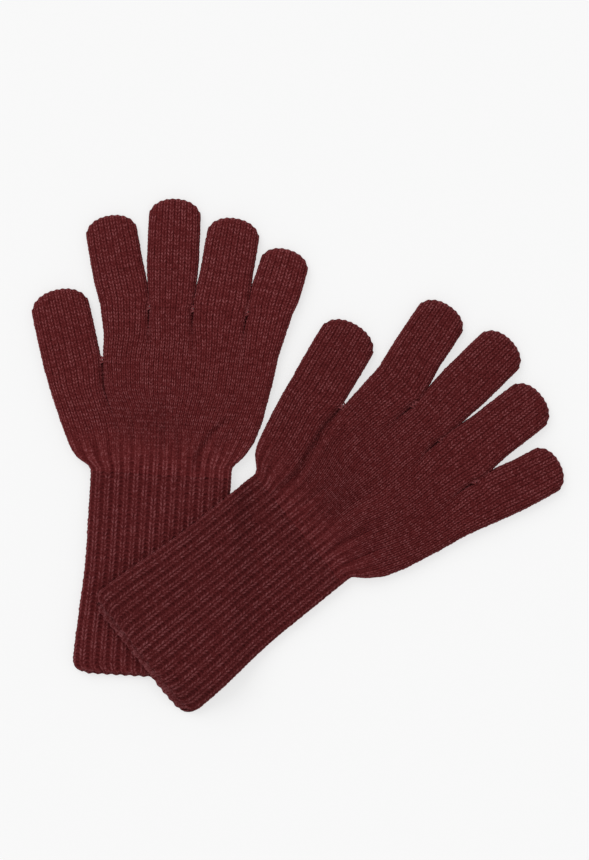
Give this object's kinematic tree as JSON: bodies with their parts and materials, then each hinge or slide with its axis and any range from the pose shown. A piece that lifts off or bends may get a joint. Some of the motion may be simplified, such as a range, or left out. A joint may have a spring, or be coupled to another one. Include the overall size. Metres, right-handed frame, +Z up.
{
  "type": "pair of knitted gloves",
  "caption": "Pair of full-fingered knitted gloves with long ribbed cuffs, lying flat with one cuff across the other; hollow tubes that fold at the wrists and digits.",
  "frame": {"origin": "on the table surface, under the middle of the pair's bounding box", "axes": "+Z up from the table, +Y towards the lower glove's fingertips, +X from the lower glove to the upper glove's hand"},
  "size_m": [0.2968, 0.2886, 0.0156],
  "materials": {
    "wool_rib": "matte fuzzy wool-blend yarn in one-by-one rib, burgundy",
    "wool_jersey": "matte fuzzy wool-blend yarn in plain stocking stitch, burgundy"
  },
  "bodies": {
    "glove_a_cuff": {"glove_a_cuff": "wool_rib"},
    "glove_a_hand": {"glove_a_hand": "wool_jersey"},
    "glove_a_thumb_lower": {"glove_a_thumb_lower": "wool_jersey"},
    "glove_a_thumb_tip": {"glove_a_thumb_tip": "wool_jersey"},
    "glove_a_index_lower": {"glove_a_index_lower": "wool_jersey"},
    "glove_a_index_tip": {"glove_a_index_tip": "wool_jersey"},
    "glove_a_middle_lower": {"glove_a_middle_lower": "wool_jersey"},
    "glove_a_middle_tip": {"glove_a_middle_tip": "wool_jersey"},
    "glove_a_ring_lower": {"glove_a_ring_lower": "wool_jersey"},
    "glove_a_ring_tip": {"glove_a_ring_tip": "wool_jersey"},
    "glove_a_little_lower": {"glove_a_little_lower": "wool_jersey"},
    "glove_a_little_tip": {"glove_a_little_tip": "wool_jersey"},
    "glove_b_cuff": {"glove_b_cuff": "wool_rib"},
    "glove_b_hand": {"glove_b_hand": "wool_jersey"},
    "glove_b_thumb_lower": {"glove_b_thumb_lower": "wool_jersey"},
    "glove_b_thumb_tip": {"glove_b_thumb_tip": "wool_jersey"},
    "glove_b_index_lower": {"glove_b_index_lower": "wool_jersey"},
    "glove_b_index_tip": {"glove_b_index_tip": "wool_jersey"},
    "glove_b_middle_lower": {"glove_b_middle_lower": "wool_jersey"},
    "glove_b_middle_tip": {"glove_b_middle_tip": "wool_jersey"},
    "glove_b_ring_lower": {"glove_b_ring_lower": "wool_jersey"},
    "glove_b_ring_tip": {"glove_b_ring_tip": "wool_jersey"},
    "glove_b_little_lower": {"glove_b_little_lower": "wool_jersey"},
    "glove_b_little_tip": {"glove_b_little_tip": "wool_jersey"}
  },
  "joints": [
    {"name": "glove_b_lift", "type": "slide", "parent": "glove_a_cuff", "child": "glove_b_cuff", "axis": [0, 0, 1], "range_m": [0, 0.15]},
    {"name": "glove_a_wrist_fold", "type": "hinge", "parent": "glove_a_cuff", "child": "glove_a_hand", "pos_m": [-0.07668, -0.00884, 0.0076], "axis": [0.9982, -0.0593, 0], "range_deg": [0, 60]},
    {"name": "glove_a_thumb_root_fold", "type": "hinge", "parent": "glove_a_hand", "child": "glove_a_thumb_lower", "pos_m": [-0.12636, 0.04861, 0.0076], "axis": [0.972, 0.2351, 0], "range_deg": [0, 90]},
    {"name": "glove_a_thumb_middle_fold", "type": "hinge", "parent": "glove_a_thumb_lower", "child": "glove_a_thumb_tip", "pos_m": [-0.13083, 0.06707, 0.0076], "axis": [0.972, 0.2351, 0], "range_deg": [0, 90]},
    {"name": "glove_a_index_root_fold", "type": "hinge", "parent": "glove_a_hand", "child": "glove_a_index_lower", "pos_m": [-0.09808, 0.08459, 0.0076], "axis": [0.9982, -0.0593, 0], "range_deg": [0, 90]},
    {"name": "glove_a_index_middle_fold", "type": "hinge", "parent": "glove_a_index_lower", "child": "glove_a_index_tip", "pos_m": [-0.10243, 0.1109, 0.0076], "axis": [0.9982, -0.0593, 0], "range_deg": [0, 90]},
    {"name": "glove_a_middle_root_fold", "type": "hinge", "parent": "glove_a_hand", "child": "glove_a_middle_lower", "pos_m": [-0.07137, 0.08301, 0.0076], "axis": [0.9982, -0.0593, 0], "range_deg": [0, 90]},
    {"name": "glove_a_middle_middle_fold", "type": "hinge", "parent": "glove_a_middle_lower", "child": "glove_a_middle_tip", "pos_m": [-0.07022, 0.11099, 0.0076], "axis": [0.9982, -0.0593, 0], "range_deg": [0, 90]},
    {"name": "glove_a_ring_root_fold", "type": "hinge", "parent": "glove_a_hand", "child": "glove_a_ring_lower", "pos_m": [-0.04372, 0.08137, 0.0076], "axis": [0.9982, -0.0593, 0], "range_deg": [0, 90]},
    {"name": "glove_a_ring_middle_fold", "type": "hinge", "parent": "glove_a_ring_lower", "child": "glove_a_ring_tip", "pos_m": [-0.03904, 0.10813, 0.0076], "axis": [0.9982, -0.0593, 0], "range_deg": [0, 90]},
    {"name": "glove_a_little_root_fold", "type": "hinge", "parent": "glove_a_hand", "child": "glove_a_little_lower", "pos_m": [-0.01562, 0.0797, 0.0076], "axis": [0.9982, -0.0593, 0], "range_deg": [0, 90]},
    {"name": "glove_a_little_middle_fold", "type": "hinge", "parent": "glove_a_little_lower", "child": "glove_a_little_tip", "pos_m": [-0.00938, 0.09936, 0.0076], "axis": [0.9982, -0.0593, 0], "range_deg": [0, 90]},
    {"name": "glove_b_wrist_fold", "type": "hinge", "parent": "glove_b_cuff", "child": "glove_b_hand", "pos_m": [0.00272, -0.04054, 0.0076], "axis": [0.6293, -0.7771, 0], "range_deg": [0, 80]},
    {"name": "glove_b_thumb_root_fold", "type": "hinge", "parent": "glove_b_hand", "child": "glove_b_thumb_lower", "pos_m": [0.01164, 0.03488, 0.0076], "axis": [0.829, -0.5592, 0], "range_deg": [0, 90]},
    {"name": "glove_b_thumb_middle_fold", "type": "hinge", "parent": "glove_b_thumb_lower", "child": "glove_b_thumb_tip", "pos_m": [0.02227, 0.05064, 0.0076], "axis": [0.829, -0.5592, 0], "range_deg": [0, 90]},
    {"name": "glove_b_index_root_fold", "type": "hinge", "parent": "glove_b_hand", "child": "glove_b_index_lower", "pos_m": [0.05729, 0.03826, 0.0076], "axis": [0.6293, -0.7771, 0], "range_deg": [0, 90]},
    {"name": "glove_b_index_middle_fold", "type": "hinge", "parent": "glove_b_index_lower", "child": "glove_b_index_tip", "pos_m": [0.07172, 0.06175, 0.0076], "axis": [0.6293, -0.7771, 0], "range_deg": [0, 90]},
    {"name": "glove_b_middle_root_fold", "type": "hinge", "parent": "glove_b_hand", "child": "glove_b_middle_lower", "pos_m": [0.07412, 0.01748, 0.0076], "axis": [0.6293, -0.7771, 0], "range_deg": [0, 90]},
    {"name": "glove_b_middle_middle_fold", "type": "hinge", "parent": "glove_b_middle_lower", "child": "glove_b_middle_tip", "pos_m": [0.09397, 0.03746, 0.0076], "axis": [0.6293, -0.7771, 0], "range_deg": [0, 90]},
    {"name": "glove_b_ring_root_fold", "type": "hinge", "parent": "glove_b_hand", "child": "glove_b_ring_lower", "pos_m": [0.09155, -0.00405, 0.0076], "axis": [0.6293, -0.7771, 0], "range_deg": [0, 90]},
    {"name": "glove_b_ring_middle_fold", "type": "hinge", "parent": "glove_b_ring_lower", "child": "glove_b_ring_tip", "pos_m": [0.11271, 0.01272, 0.0076], "axis": [0.6293, -0.7771, 0], "range_deg": [0, 90]},
    {"name": "glove_b_little_root_fold", "type": "hinge", "parent": "glove_b_hand", "child": "glove_b_little_lower", "pos_m": [0.10927, -0.02593, 0.0076], "axis": [0.6293, -0.7771, 0], "range_deg": [0, 90]},
    {"name": "glove_b_little_middle_fold", "type": "hinge", "parent": "glove_b_little_lower", "child": "glove_b_little_tip", "pos_m": [0.12732, -0.01644, 0.0076], "axis": [0.6293, -0.7771, 0], "range_deg": [0, 90]}
  ]
}
